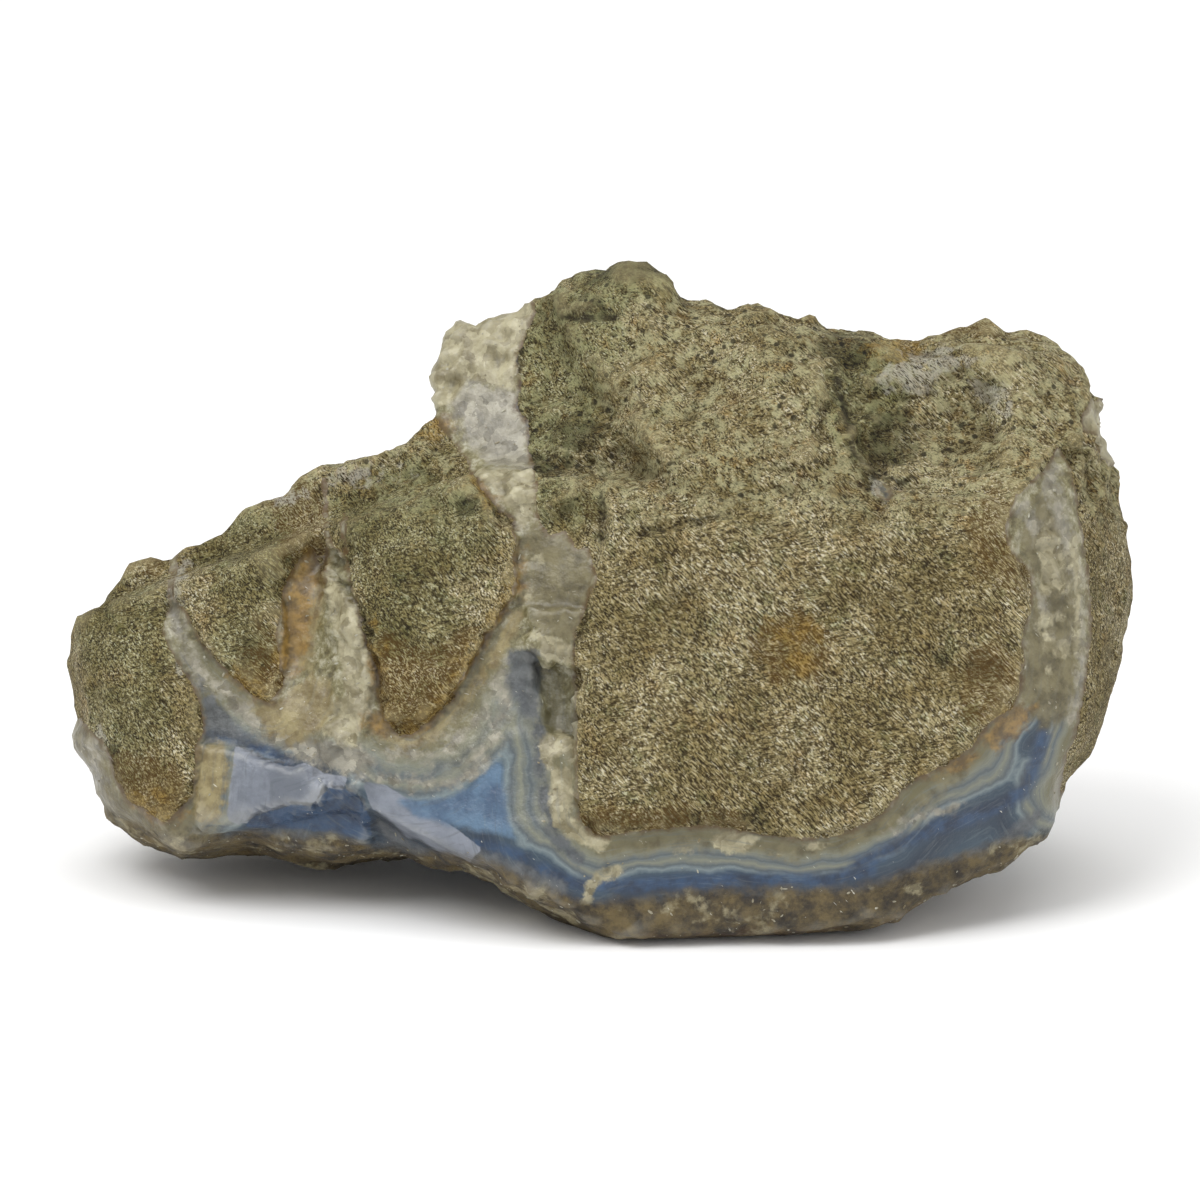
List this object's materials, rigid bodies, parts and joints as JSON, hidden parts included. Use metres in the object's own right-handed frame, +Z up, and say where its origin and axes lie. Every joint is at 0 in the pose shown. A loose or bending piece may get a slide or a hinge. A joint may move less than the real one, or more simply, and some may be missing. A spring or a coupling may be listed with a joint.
{
  "type": "rough blue lace agate on host rock",
  "caption": "Broken chunk of weathered host rock with a curving seam of blue and grey banded agate, resting on a small flat spot.",
  "frame": {"origin": "centre of the bounding box seen from above, on the surface that the stone rests on", "axes": "+Z up, +X along the length of the stone towards its tall end, -Y out of the broken face with the agate"},
  "size_m": [0.1611, 0.0832, 0.094],
  "materials": {
    "stone": "grainy matt olive-brown host rock, with waxy translucent blue, grey and cream agate in the seams"
  },
  "bodies": {
    "root": {"agate_geode": "stone"}
  },
  "joints": []
}
